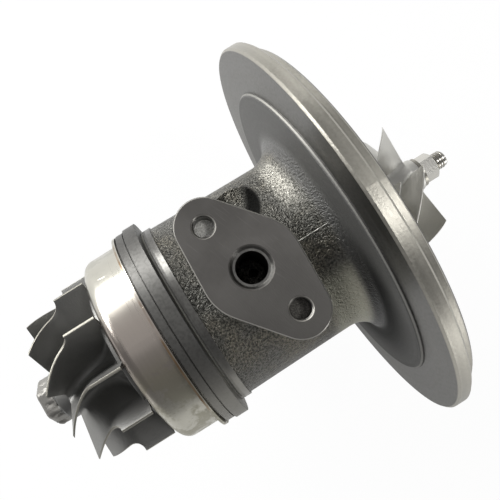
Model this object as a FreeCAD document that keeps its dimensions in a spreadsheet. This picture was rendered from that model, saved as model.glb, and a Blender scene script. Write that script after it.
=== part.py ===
import FreeCAD
import Part
import math
import os
import Sketcher
from FreeCAD import Vector

# Turbo cartridge: the centre housing of a turbocharger with its rotor, bearings and seals.
#
# Millimetres. The origin lies on the shaft's axis, in the plane of the shoulder that the
# compressor cover sits against. +X runs along the shaft towards the compressor wheel, and +Z
# is up, towards the oil inlet.

# Driving dimensions. A name that ends in _x is a place along the shaft. A name that ends in _r
# is a radius.
SIZES = {
    # compressor-end disc of the housing
    "register_r": 78.0,
    "cover_land": 4.5,
    "rim_width": 5.5,
    "register_depth": 4.0,
    "rim_chamfer": 0.8,
    "boss_r": 64.4,
    "boss_height": 1.4,
    "boss_chamfer": 0.9,
    "disc_root_round": 11.0,
    # cast body between the disc and the turbine flange
    "body_front_r": 37.4,
    "body_back_r": 38.6,
    "body_front_x": -8.0,
    "land_r": 39.3,
    "land_front_x": -65.6,
    "land_width": 3.2,
    "clamp_groove_r": 37.6,
    # turbine-end clamp flange
    "flange_front_x": -70.2,
    "clamp_slope_width": 1.4,
    "flange_r": 44.0,
    "flange_split_x": -75.2,
    "line_groove_width": 0.6,
    "line_groove_depth": 0.8,
    "flange_lip_r": 43.3,
    "flange_end_x": -78.8,
    "shield_seat_r": 41.6,
    "shield_seat_height": 0.8,
    "back_recess_r": 35.0,
    "back_recess_depth": 5.0,
    # snout that carries the turbine-end seal
    "snout_root_r": 20.0,
    "snout_tip_r": 14.0,
    "snout_end_x": -92.6,
    # bores of the housing, from the turbine end to the compressor end
    "seal_bore_r": 9.3,
    "seal_bore_front_x": -86.0,
    "slinger_chamber_r": 15.0,
    "bearing_bore_r": 8.75,
    "turbine_bore_back_x": -75.0,
    "turbine_bore_front_x": -56.0,
    "middle_chamber_r": 11.0,
    "compressor_bore_back_x": -44.0,
    "collar_chamber_back_x": -22.0,
    "collar_chamber_r": 13.0,
    "thrust_seat_x": -19.0,
    "thrust_chamber_r": 22.0,
    "insert_seat_x": -9.5,
    "insert_bore_r": 30.0,
    "wheel_recess_depth": 3.0,
    "wheel_recess_gap": 0.6,
    # drain cavity under the bearings
    "cavity_length": 54.0,
    "cavity_middle_x": -44.0,
    "cavity_width": 24.0,
    "cavity_top_z": -10.0,
    "cavity_bottom_z": -29.0,
    "channel_length": 14.0,
    "channel_middle_x": -73.0,
    "channel_width": 12.0,
    "channel_top_z": -7.0,
    "channel_bottom_z": -14.0,
    # oil inlet flange on top
    "port_x": -41.7,
    "inlet_face_z": 54.0,
    "inlet_flange_height": 8.5,
    "inlet_pitch": 41.3,
    "inlet_turn_deg": -72.1,
    "inlet_ear_r": 10.1,
    "inlet_middle_r": 17.5,
    "inlet_edge_chamfer": 0.5,
    "inlet_pedestal_inset": 3.6,
    "inlet_pedestal_foot_z": 24.0,
    "pedestal_round": 4.0,
    "hollow_x": -33.0,
    "hollow_turn_deg": 40.0,
    "hollow_centre_r": 41.0,
    "hollow_length": 18.0,
    "hollow_width": 26.0,
    "hollow_height": 20.0,
    "inlet_bore_r": 5.5,
    "inlet_sink_r": 7.6,
    "inlet_sink_depth": 1.4,
    "inlet_bore_depth": 36.0,
    "port_screw_r": 3.5,
    "port_screw_chamfer": 0.8,
    "oil_drilling_r": 1.6,
    # oil drain flange underneath
    "drain_face_z": -50.0,
    "drain_flange_height": 9.0,
    "drain_pitch": 46.0,
    "drain_turn_deg": 90.0,
    "drain_ear_r": 10.5,
    "drain_middle_r": 20.5,
    "drain_pedestal_inset": 3.5,
    "drain_bore_r": 11.0,
    "drain_sink_r": 12.2,
    "drain_sink_depth": 1.2,
    "drain_screw_depth": 16.0,
    # heat shield
    "shield_lip_r": 43.6,
    "shield_sheet": 1.1,
    "shield_cup_r": 40.7,
    "shield_end_x": -97.0,
    "shield_round": 4.5,
    "shield_hole_r": 13.0,
    "shield_sag": 0.55,
    # turbine wheel
    "turbine_blades": 11,
    "turbine_inlet_r": 37.3,
    "turbine_back_x": -98.2,
    "turbine_corner_x": -111.0,
    "turbine_exit_x": -127.3,
    "turbine_exit_r": 32.0,
    "turbine_hub_back_r": 30.0,
    "turbine_back_rim": 1.6,
    "turbine_hub_round": 17.0,
    "turbine_hub_end_r": 10.6,
    "turbine_hub_end_x": -132.3,
    "turbine_sweep_deg": 23.5,
    "turbine_sweep_power": 1.8,
    "turbine_first_blade_deg": 7.0,
    "turbine_blade_root": 2.6,
    "turbine_blade_tip": 1.15,
    "turbine_boss_flats": 18.4,
    "turbine_boss_r": 10.2,
    "turbine_boss_end_x": -139.0,
    "turbine_boss_chamfer": 1.6,
    # compressor wheel
    "compressor_blades": 6,
    "compressor_r": 38.0,
    "compressor_back_x": 2.0,
    "compressor_rim": 1.6,
    "compressor_tip_width": 5.0,
    "compressor_inlet_x": 36.0,
    "compressor_tip_x": 34.1,
    "compressor_inlet_r": 25.6,
    "compressor_nose_r": 7.0,
    "compressor_nose_x": 39.6,
    "compressor_early_wrap_deg": 50.0,
    "compressor_late_wrap_deg": 17.0,
    "compressor_shroud_power": 1.15,
    "compressor_first_blade_deg": 60.0,
    "compressor_blade_root": 1.5,
    "compressor_blade_tip": 0.7,
    "compressor_blade_sink": 0.5,
    "splitter_start": 0.32,
    # nut and washer on the compressor end of the shaft
    "washer_r": 6.4,
    "washer_thickness": 1.2,
    "nut_flats": 10.0,
    "nut_height": 6.3,
    "nut_chamfer": 0.8,
    # shaft
    "stub_r": 3.5,
    "thread_r": 3.35,
    "thread_length": 12.0,
    "stub_end_x": 52.4,
    "stub_end_chamfer": 0.6,
    "collar_seat_x": -24.0,
    "journal_r": 5.5,
    "journal_relief": 0.5,
    "seal_boss_gap": 0.1,
    "seal_boss_front_x": -86.4,
    "slinger_groove_r": 6.6,
    "slinger_groove_width": 2.4,
    "slinger_r": 8.4,
    "slinger_width": 2.0,
    "weld_x": -96.2,
    # piston rings
    "ring_thickness": 1.5,
    "ring_side_gap": 0.1,
    "ring_depth": 1.5,
    "ring_bottom_gap": 0.3,
    "ring_end_gap": 0.4,
    "turbine_ring_x": -90.4,
    "compressor_ring_x": -4.2,
    # floating bearings and their clips
    "bearing_length": 10.0,
    "bearing_inner_gap": 0.04,
    "bearing_outer_gap": 0.06,
    "bearing_end_gap": 0.2,
    "bearing_hole_r": 1.2,
    "bearing_holes": 6,
    "turbine_bearing_x": -67.0,
    "compressor_bearing_x": -33.0,
    "clip_thickness": 1.0,
    "clip_groove_gap": 0.06,
    "clip_groove_depth": 0.6,
    "clip_depth": 1.9,
    "clip_opening_deg": 46.0,
    # thrust bearing, collar and sleeve
    "thrust_thickness": 5.0,
    "thrust_hole_gap": 0.1,
    "thrust_end_gap": 0.08,
    "thrust_notch_width": 20.0,
    "thrust_screw_circle_r": 16.6,
    "thrust_screw_r": 2.0,
    "thrust_screw_head_r": 3.4,
    "thrust_screw_head": 2.2,
    "thrust_screw_length": 7.0,
    "thrust_screws": 3,
    "thrust_pad_r": 11.6,
    "collar_hub_r": 7.4,
    "collar_flange_r": 11.4,
    "collar_flange_width": 2.4,
    "sleeve_flange_width": 2.2,
    "sleeve_r": 9.5,
    "sleeve_bore_gap": 0.02,
    # oil baffle, seal plate and what holds it
    "baffle_thickness": 1.0,
    "baffle_hole_r": 12.2,
    "insert_gap": 0.05,
    "insert_face_x": -1.5,
    "insert_centre_height": 2.2,
    "insert_centre_r": 25.0,
    "insert_pocket_r": 19.0,
    "insert_pocket_depth": 3.0,
    "o_ring_section_r": 1.2,
    "o_ring_groove_width": 3.0,
    "o_ring_x": -5.2,
    "insert_clip_thickness": 1.5,
    "insert_clip_groove": 1.8,
    "insert_clip_depth": 3.2,
}

document = FreeCAD.newDocument("turbo_cartridge")
sheet = document.addObject("Spreadsheet::Sheet", "Sizes")
for row, (size_name, number) in enumerate(SIZES.items(), start=1):
    sheet.set("A%d" % row, size_name)
    sheet.set("B%d" % row, str(number))
    sheet.setAlias("B%d" % row, size_name)
document.recompute()


class Size:
    """A dimension as a formula of the sheet's cells, with its present value."""

    def __init__(self, formula, value):
        self.formula = formula
        self.value = float(value)

    @staticmethod
    def of(number):
        return number if isinstance(number, Size) else Size(repr(number), number)

    def __add__(self, other):
        other = Size.of(other)
        return Size("(%s + %s)" % (self.formula, other.formula), self.value + other.value)

    def __sub__(self, other):
        other = Size.of(other)
        return Size("(%s - %s)" % (self.formula, other.formula), self.value - other.value)

    def __mul__(self, other):
        other = Size.of(other)
        return Size("(%s * %s)" % (self.formula, other.formula), self.value * other.value)

    def __truediv__(self, other):
        other = Size.of(other)
        return Size("(%s / %s)" % (self.formula, other.formula), self.value / other.value)

    def __pow__(self, other):
        other = Size.of(other)
        return Size("(%s ^ %s)" % (self.formula, other.formula), self.value ** other.value)

    def __neg__(self):
        return Size("(0 - %s)" % self.formula, -self.value)


class Cells:
    """The sheet's cells by name, each as a Size."""

    def __getattr__(self, name):
        return Size("Sizes.%s" % name, sheet.get(name))


S = Cells()
ZERO = Size("0", 0)

# Places that several pieces share, worked out from the driving dimensions.
disc_r = S.register_r + S.cover_land
boss_x = -(S.rim_width + S.boss_height)
recess_x = S.register_depth - S.wheel_recess_depth
recess_r = S.compressor_r + S.wheel_recess_gap
thrust_face_x = S.thrust_seat_x + S.thrust_thickness
collar_face_x = S.thrust_seat_x - S.thrust_end_gap
sleeve_back_x = thrust_face_x + S.thrust_end_gap
nut_seat_x = S.compressor_nose_x + S.washer_thickness
seal_boss_r = S.seal_bore_r - S.seal_boss_gap
sleeve_bore_r = S.stub_r + S.sleeve_bore_gap
seal_hole_r = S.sleeve_r + S.seal_boss_gap
insert_r = S.insert_bore_r - S.insert_gap
insert_back_x = S.insert_seat_x + S.baffle_thickness
bearing_r = S.bearing_bore_r - S.bearing_outer_gap
clip_span = S.bearing_length / 2 + S.bearing_end_gap
SUBPARTS = []


def new_body(name):
    """An empty body that becomes the sub-part of this name."""
    body = document.addObject("PartDesign::Body", name)
    body.Label = name
    SUBPARTS.append(body)
    return body


def new_sketch(body, name, plane, x=None, z=None, turn_deg=None):
    """A sketch on one of the body's origin planes, moved along the body's own X and Z."""
    sketch = body.newObject("Sketcher::SketchObject", name)
    origin_plane = [item for item in body.Origin.OriginFeatures if item.Role == plane][0]
    sketch.AttachmentSupport = [(origin_plane, "")]
    sketch.MapMode = "FlatFace"
    along = {"XY_Plane": ("x", "z"), "XZ_Plane": ("x", "y"), "YZ_Plane": ("z", "y")}[plane]
    if x is not None:
        sketch.setExpression("AttachmentOffset.Base.%s" % along[0], x.formula)
    if z is not None:
        sketch.setExpression("AttachmentOffset.Base.%s" % along[1], z.formula)
    if turn_deg is not None:
        sketch.setExpression("AttachmentOffset.Rotation.Angle", turn_deg.formula)
    return sketch


def bind(sketch, constraint, size):
    """Adds a dimension to the sketch and ties it to the sheet."""
    index = sketch.addConstraint(constraint)
    sketch.setExpression("Constraints[%d]" % index, size.formula)


def draw_corners(sketch, corners):
    """A closed outline of straight lines through corners given as pairs of sizes."""
    sizes = [(Size.of(u), Size.of(v)) for u, v in corners]
    points = [Vector(u.value, v.value, 0) for u, v in sizes]
    first = sketch.GeometryCount
    count = len(points)
    for i in range(count):
        sketch.addGeometry(Part.LineSegment(points[i], points[(i + 1) % count]))
    for i in range(count):
        following = first + (i + 1) % count
        sketch.addConstraint(Sketcher.Constraint("Coincident", first + i, 2, following, 1))
    for i, (u, v) in enumerate(sizes):
        bind(sketch, Sketcher.Constraint("DistanceX", -1, 1, first + i, 1, u.value), u)
        bind(sketch, Sketcher.Constraint("DistanceY", -1, 1, first + i, 1, v.value), v)


def draw_circle(sketch, u, v, radius):
    """A circle with its centre and radius tied to the sheet."""
    u, v, radius = Size.of(u), Size.of(v), Size.of(radius)
    circle = Part.Circle(Vector(u.value, v.value, 0), Vector(0, 0, 1), radius.value)
    index = sketch.addGeometry(circle)
    bind(sketch, Sketcher.Constraint("DistanceX", -1, 1, index, 3, u.value), u)
    bind(sketch, Sketcher.Constraint("DistanceY", -1, 1, index, 3, v.value), v)
    bind(sketch, Sketcher.Constraint("Radius", index, radius.value), radius)


def draw_lobes(sketch, half_pitch, ear_r, middle_r):
    """A flange outline: two round ears joined by tangent lines to a wider round middle."""
    reach, ear, middle = half_pitch.value, ear_r.value, middle_r.value
    lean = math.acos((middle - ear) / reach)

    def at(centre, radius, angle):
        return Vector(centre + radius * math.cos(angle), radius * math.sin(angle), 0)

    def arc(centre, radius, start, end):
        circle = Part.Circle(Vector(centre, 0, 0), Vector(0, 0, 1), radius)
        return Part.ArcOfCircle(circle, start, end)

    half = math.pi
    pieces = [
        arc(reach, ear, -lean, lean),
        Part.LineSegment(at(reach, ear, lean), at(0, middle, lean)),
        arc(0, middle, lean, half - lean),
        Part.LineSegment(at(0, middle, half - lean), at(-reach, ear, half - lean)),
        arc(-reach, ear, half - lean, half + lean),
        Part.LineSegment(at(-reach, ear, half + lean), at(0, middle, half + lean)),
        arc(0, middle, half + lean, 2 * half - lean),
        Part.LineSegment(at(0, middle, -lean), at(reach, ear, -lean)),
    ]
    sketch.addGeometry(pieces)
    for i in range(8):
        sketch.addConstraint(Sketcher.Constraint("Tangent", i, 2, (i + 1) % 8, 1))
    for middle_arc in (2, 6):
        sketch.addConstraint(Sketcher.Constraint("Coincident", middle_arc, 3, -1, 1))
    for ear_arc in (0, 4):
        sketch.addConstraint(Sketcher.Constraint("PointOnObject", ear_arc, 3, -1))
    sketch.addConstraint(Sketcher.Constraint("Equal", 2, 6))
    sketch.addConstraint(Sketcher.Constraint("Equal", 0, 4))
    bind(sketch, Sketcher.Constraint("Radius", 2, middle), middle_r)
    bind(sketch, Sketcher.Constraint("Radius", 0, ear), ear_r)
    bind(sketch, Sketcher.Constraint("DistanceX", -1, 1, 0, 3, reach), half_pitch)
    bind(sketch, Sketcher.Constraint("DistanceX", 4, 3, -1, 1, reach), half_pitch)


def feature(body, kind, name, sketch=None, **settings):
    """A feature of the body, with the sketch it uses. Sizes among the settings are bound."""
    before = body.Shape.Volume if body.Tip else 0.0
    item = body.newObject("PartDesign::" + kind, name)
    if sketch is not None:
        item.Profile = sketch
        sketch.Visibility = False
    for key, value in settings.items():
        if isinstance(value, Size):
            item.setExpression(key, value.formula)
        else:
            setattr(item, key, value)
    if kind == "PolarPattern":
        body.Tip = item
    document.recompute()
    change = body.Shape.Volume - before
    removes = kind in ("Groove", "Pocket", "Chamfer") or kind.startswith("Subtractive")
    if (removes and change >= 0) or (kind in ("Pad", "Revolution") and change <= 0):
        raise RuntimeError("%s changed the volume of %s by %.3f" % (name, body.Label, change))
    return item


def turn(body, name, corners, kind="Revolution", angle=None):
    """Turns an outline of (x, radius) corners about the shaft's axis."""
    sketch = new_sketch(body, name + "_section", "XZ_Plane")
    draw_corners(sketch, corners)
    swing = angle if angle is not None else 360
    return feature(body, kind, name, sketch, ReferenceAxis=(sketch, ["H_Axis"]), Angle=swing)


def turned_body(name, corners, angle=None):
    """A sub-part that is one turned outline."""
    body = new_body(name)
    turn(body, name + "_turned", corners, angle=angle)
    return body


def edges_where(body, test):
    """The names of the body's edges that pass the test."""
    names = []
    for number, edge in enumerate(body.Shape.Edges, start=1):
        if not edge.Degenerated and test(edge):
            names.append("Edge%d" % number)
    return names


def ring_edge(x, radius):
    """A test for the circular edge round the shaft's axis at this place and radius."""
    def test(edge):
        curve = edge.Curve
        if not isinstance(curve, Part.Circle) or abs(curve.Axis.x) < 0.999:
            return False
        centre = curve.Center
        off_axis = math.hypot(centre.y, centre.z)
        near = abs(centre.x - x.value) < 1e-4 and off_axis < 1e-4
        return near and abs(curve.Radius - radius.value) < 1e-4
    return test


def round_edges(body, name, test, radius, kind="Fillet"):
    """Rounds or bevels the edges that pass the test."""
    names = edges_where(body, test)
    if not names:
        raise RuntimeError("%s finds no edge on %s" % (name, body.Label))
    key = "Radius" if kind == "Fillet" else "Size"
    return feature(body, kind, name, Base=(body.Tip, names), **{key: radius})


def make_housing():
    """The cast centre housing with its disc, clamp flange, oil flanges and bores."""
    body = new_body("bearing_housing")
    body_end_x = S.land_front_x - S.land_width
    turn(body, "housing_outside", [
        (S.register_depth, ZERO),
        (S.register_depth, S.register_r),
        (ZERO, S.register_r),
        (ZERO, disc_r),
        (-S.rim_width, disc_r),
        (-S.rim_width, S.boss_r),
        (boss_x, S.boss_r),
        (boss_x, S.body_front_r),
        (S.body_front_x, S.body_front_r),
        (S.land_front_x, S.body_back_r),
        (S.land_front_x, S.land_r),
        (body_end_x, S.land_r),
        (body_end_x - S.rim_chamfer, S.clamp_groove_r),
        (S.flange_front_x, S.flange_r),
        (S.flange_split_x, S.flange_r),
        (S.flange_split_x, S.flange_lip_r - S.line_groove_depth),
        (S.flange_split_x - S.line_groove_width, S.flange_lip_r - S.line_groove_depth),
        (S.flange_split_x - S.line_groove_width, S.flange_lip_r),
        (S.flange_end_x, S.flange_lip_r),
        (S.flange_end_x, S.shield_seat_r),
        (S.flange_end_x - S.shield_seat_height, S.shield_seat_r),
        (S.flange_end_x - S.shield_seat_height, S.back_recess_r),
        (S.flange_end_x + S.back_recess_depth, S.back_recess_r),
        (S.flange_end_x + S.back_recess_depth, S.snout_root_r),
        (S.snout_end_x, S.snout_tip_r),
        (S.snout_end_x, ZERO),
    ])
    round_edges(body, "disc_root", ring_edge(boss_x, S.body_front_r), S.disc_root_round)
    for name, x in (("rim_bevel_back", -S.rim_width), ("rim_bevel_front", ZERO)):
        round_edges(body, name, ring_edge(x, disc_r), S.rim_chamfer, "Chamfer")
    round_edges(body, "register_bevel", ring_edge(S.register_depth, S.register_r),
                S.rim_chamfer, "Chamfer")
    round_edges(body, "boss_bevel", ring_edge(boss_x, S.boss_r), S.boss_chamfer, "Chamfer")
    add_port_flange(body, "inlet", S.inlet_face_z, S.inlet_flange_height, S.inlet_pitch,
                    S.inlet_ear_r, S.inlet_middle_r, S.inlet_pedestal_inset, down=True)
    add_port_flange(body, "drain", S.drain_face_z, S.drain_flange_height, S.drain_pitch,
                    S.drain_ear_r, S.drain_middle_r, S.drain_pedestal_inset, down=False)
    cut_hollow(body)
    cut_bores(body)
    cut_ports(body)
    return body


def cut_hollow(body):
    """The shallow hollow in the casting between the inlet flange's ear and the disc."""
    lean = math.radians(S.hollow_turn_deg.value)
    outward = Vector(0, math.sin(lean), math.cos(lean))
    centre = outward * S.hollow_centre_r.value + Vector(S.hollow_x.value, 0, 0)
    turned = FreeCAD.Rotation(Vector(1, 0, 0), Vector(0, 0, 0), outward, "ZXY")
    hollow = feature(body, "SubtractiveEllipsoid", "ear_hollow", Radius1=S.hollow_height / 2,
                     Radius2=S.hollow_length / 2, Radius3=S.hollow_width / 2,
                     Placement=FreeCAD.Placement(centre, turned))
    body.Tip = hollow


def add_port_flange(body, name, face_z, height, pitch, ear_r, middle_r, inset, down):
    """An oil flange on its pedestal, standing on the cast body."""
    turn_deg = S.inlet_turn_deg if down else S.drain_turn_deg
    under_z = face_z - height if down else face_z + height
    foot_z = S.inlet_pedestal_foot_z
    pedestal = new_sketch(body, name + "_pedestal_outline", "XY_Plane", S.port_x, under_z, turn_deg)
    draw_lobes(pedestal, pitch / 2 - inset, ear_r - inset, middle_r - inset)
    length = under_z - foot_z if down else -(under_z + foot_z)
    feature(body, "Pad", name + "_pedestal", pedestal, Length=length, Reversed=down)

    def at_foot(edge):
        middle = edge.valueAt((edge.FirstParameter + edge.LastParameter) / 2)
        off_axis = math.hypot(middle.y, middle.z)
        on_body = S.body_front_r.value - 0.1 < off_axis < S.body_back_r.value + 0.1
        on_this_side = edge.CenterOfMass.z * (1 if down else -1) > 1
        return on_body and on_this_side and not isinstance(edge.Curve, (Part.Circle, Part.Line))

    round_edges(body, name + "_pedestal_round", at_foot, S.pedestal_round)
    flange = new_sketch(body, name + "_flange_outline", "XY_Plane", S.port_x, face_z, turn_deg)
    draw_lobes(flange, pitch / 2, ear_r, middle_r)
    feature(body, "Pad", name + "_flange", flange, Length=height, Reversed=down)

    def on_face(edge):
        heights = [vertex.Z for vertex in edge.Vertexes]
        return all(abs(value - face_z.value) < 1e-4 for value in heights)

    round_edges(body, name + "_flange_bevel", on_face, S.inlet_edge_chamfer, "Chamfer")


def cut_bores(body):
    """The bores and chambers along the shaft, from the turbine end to the compressor end."""
    steps = [
        (S.snout_end_x - 1, S.seal_bore_r),
        (S.seal_bore_front_x, S.slinger_chamber_r),
        (S.turbine_bore_back_x, S.bearing_bore_r),
        (S.turbine_bore_front_x, S.middle_chamber_r),
        (S.compressor_bore_back_x, S.bearing_bore_r),
        (S.collar_chamber_back_x, S.collar_chamber_r),
        (S.thrust_seat_x, S.thrust_chamber_r),
        (S.insert_seat_x, S.insert_bore_r),
        (recess_x, recess_r),
    ]
    corners = [(steps[0][0], ZERO)]
    for i, (start_x, radius) in enumerate(steps):
        end_x = steps[i + 1][0] if i + 1 < len(steps) else S.register_depth + 1
        corners += [(start_x, radius), (end_x, radius)]
    corners.append((S.register_depth + 1, ZERO))
    turn(body, "shaft_bores", corners, "Groove")
    for name, middle in (("turbine", S.turbine_bearing_x), ("compressor", S.compressor_bearing_x)):
        for side, way in (("back", -1), ("front", 1)):
            near = middle + clip_span * way
            far = near + (S.clip_thickness + S.clip_groove_gap * 2) * way
            depth_r = S.bearing_bore_r + S.clip_groove_depth
            turn(body, "%s_clip_groove_%s" % (name, side), [
                (near, S.bearing_bore_r - 1), (near, depth_r),
                (far, depth_r), (far, S.bearing_bore_r - 1)], "Groove")
    groove_back_x = S.insert_face_x
    groove_front_x = S.insert_face_x + S.insert_clip_thickness + S.clip_groove_gap * 2
    turn(body, "seal_plate_clip_groove", [
        (groove_back_x, S.insert_bore_r - 1),
        (groove_back_x, S.insert_bore_r + S.insert_clip_groove),
        (groove_front_x, S.insert_bore_r + S.insert_clip_groove),
        (groove_front_x, S.insert_bore_r - 1)], "Groove")
    screw_holes = new_sketch(body, "thrust_screw_circles", "YZ_Plane", S.thrust_seat_x)
    count = int(S.thrust_screws.value)
    for number in range(count):
        angle = 2 * math.pi * number / count
        draw_circle(screw_holes, S.thrust_screw_circle_r * math.sin(angle),
                    S.thrust_screw_circle_r * math.cos(angle), S.thrust_screw_r + S.sleeve_bore_gap)
    feature(body, "Pocket", "thrust_screw_holes", screw_holes, Length=S.thrust_screw_length)


def cut_ports(body):
    """The oil inlet and its drillings, the drain with its cavity, and the flange screw holes."""
    inlet = new_sketch(body, "inlet_bore_section", "XZ_Plane", S.port_x)
    top = S.inlet_face_z
    sink_z = top - S.inlet_sink_depth
    draw_corners(inlet, [
        (ZERO, top + 1), (S.inlet_sink_r, top + 1), (S.inlet_sink_r, top),
        (S.inlet_bore_r + S.port_screw_chamfer, sink_z), (S.inlet_bore_r, sink_z),
        (S.inlet_bore_r, top - S.inlet_bore_depth), (ZERO, top - S.inlet_bore_depth)])
    feature(body, "Groove", "inlet_bore", inlet, ReferenceAxis=(inlet, ["V_Axis"]), Angle=360)

    hollows = (("drain_cavity", S.cavity_middle_x, S.cavity_length, S.cavity_width,
                S.cavity_top_z, S.cavity_bottom_z),
               ("drain_channel", S.channel_middle_x, S.channel_length, S.channel_width,
                S.channel_top_z, S.channel_bottom_z))
    for name, middle_x, length, width, top_z, bottom_z in hollows:
        sketch = new_sketch(body, name + "_outline", "XY_Plane", middle_x, top_z)
        half_x, half_y = length / 2, width / 2
        draw_corners(sketch, [(-half_x, -half_y), (half_x, -half_y), (half_x, half_y), (-half_x, half_y)])
        feature(body, "Pocket", name, sketch, Length=top_z - bottom_z)

    drain = new_sketch(body, "drain_bore_section", "XZ_Plane", S.port_x)
    bottom = S.drain_face_z
    draw_corners(drain, [
        (ZERO, bottom - 1), (S.drain_sink_r, bottom - 1), (S.drain_sink_r, bottom),
        (S.drain_bore_r, bottom + S.drain_sink_depth), (S.drain_bore_r, S.cavity_bottom_z + 1),
        (ZERO, S.cavity_bottom_z + 1)])
    feature(body, "Groove", "drain_bore", drain, ReferenceAxis=(drain, ["V_Axis"]), Angle=360)

    screws = (("inlet", S.inlet_face_z, S.inlet_pitch, S.inlet_turn_deg, S.inlet_flange_height + 1, False),
              ("drain", S.drain_face_z, S.drain_pitch, S.drain_turn_deg, S.drain_screw_depth, True))
    for name, face_z, pitch, turn_deg, depth, upward in screws:
        sketch = new_sketch(body, name + "_screw_circles", "XY_Plane", S.port_x, face_z, turn_deg)
        draw_circle(sketch, pitch / 2, ZERO, S.port_screw_r)
        draw_circle(sketch, -(pitch / 2), ZERO, S.port_screw_r)
        feature(body, "Pocket", name + "_screw_holes", sketch, Length=depth, Reversed=upward)

        def mouth(edge, level=face_z.value):
            curve = edge.Curve
            if not isinstance(curve, Part.Circle):
                return False
            same_size = abs(curve.Radius - S.port_screw_r.value) < 1e-4
            return same_size and abs(curve.Center.z - level) < 1e-4

        round_edges(body, name + "_screw_bevels", mouth, S.port_screw_chamfer, "Chamfer")

    # The two oblique drillings lead oil from the foot of the inlet bore to the bearings.
    start = Vector(S.port_x.value, 0, S.inlet_face_z.value - S.inlet_bore_depth.value + 2)
    for name, middle in (("turbine", S.turbine_bearing_x), ("compressor", S.compressor_bearing_x)):
        run = Vector(middle.value, 0, S.bearing_bore_r.value - 1) - start
        drilling = feature(body, "SubtractiveCylinder", name + "_oil_drilling",
                           Radius=S.oil_drilling_r, Height=run.Length,
                           Placement=FreeCAD.Placement(start, FreeCAD.Rotation(Vector(0, 0, 1), run)))
        body.Tip = drilling


def make_heat_shield():
    """A pressed cup over the snout, with a lip that sits on the flange's end."""
    seat_x = S.flange_end_x - S.shield_seat_height
    inner_r = S.shield_cup_r - S.shield_sheet
    body = turned_body("heat_shield", [
        (seat_x, inner_r), (seat_x, S.shield_lip_r),
        (seat_x - S.shield_sheet, S.shield_lip_r), (seat_x - S.shield_sheet, S.shield_cup_r),
        (S.shield_end_x, S.shield_cup_r), (S.shield_end_x, S.shield_hole_r),
        (S.shield_end_x + S.shield_sheet, S.shield_hole_r),
        (S.shield_end_x + S.shield_sheet, inner_r)])
    round_edges(body, "outer_round", ring_edge(S.shield_end_x, S.shield_cup_r), S.shield_round)
    inside = S.shield_round - S.shield_sheet
    round_edges(body, "inner_round", ring_edge(S.shield_end_x + S.shield_sheet, inner_r), inside)
    # Until a turbine housing clamps its lip, the shield hangs a little off the shaft's axis.
    body.setExpression("Placement.Base.y", (-S.shield_sag).formula)


def make_seals():
    """The piston rings that seal the shaft at both ends, split so that they can spring."""
    half = S.ring_thickness / 2
    rings = (("turbine_seal_ring", S.turbine_ring_x, S.seal_bore_r),
             ("compressor_seal_ring", S.compressor_ring_x, seal_hole_r))
    for name, middle, outer_r in rings:
        split_deg = S.ring_end_gap / outer_r * (180 / math.pi)
        inner_r = outer_r - S.ring_depth
        turned_body(name, [
            (middle - half, inner_r), (middle - half, outer_r),
            (middle + half, outer_r), (middle + half, inner_r)], angle=-split_deg + 360)


def make_bearings():
    """Two floating bushes with oil holes, each between two clips in the housing's bore."""
    half = S.bearing_length / 2
    inner_r = S.journal_r + S.bearing_inner_gap
    bearings = (("turbine", S.turbine_bearing_x), ("compressor", S.compressor_bearing_x))
    for name, middle in bearings:
        body = turned_body("journal_bearing_%s_side" % name, [
            (middle - half, inner_r), (middle - half, bearing_r),
            (middle + half, bearing_r), (middle + half, inner_r)])
        sketch = new_sketch(body, "oil_hole", "XY_Plane", middle, ZERO)
        draw_circle(sketch, ZERO, ZERO, S.bearing_hole_r)
        hole = feature(body, "Pocket", "first_oil_hole", sketch, Length=bearing_r + 1, Reversed=True)
        axis = [item for item in body.Origin.OriginFeatures if item.Role == "X_Axis"][0]
        feature(body, "PolarPattern", "oil_holes", Originals=[hole], Axis=(axis, [""]),
                Angle=360, Occurrences=S.bearing_holes)
        for side, way in (("back", -1), ("front", 1)):
            near = middle + (clip_span + S.clip_groove_gap) * way
            far = near + S.clip_thickness * way
            outer_r = S.bearing_bore_r + S.clip_groove_depth - S.clip_groove_gap
            turned_body("%s_bearing_clip_%s" % (name, side), [
                (near, outer_r - S.clip_depth), (near, outer_r),
                (far, outer_r), (far, outer_r - S.clip_depth)], angle=-S.clip_opening_deg + 360)


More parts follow.
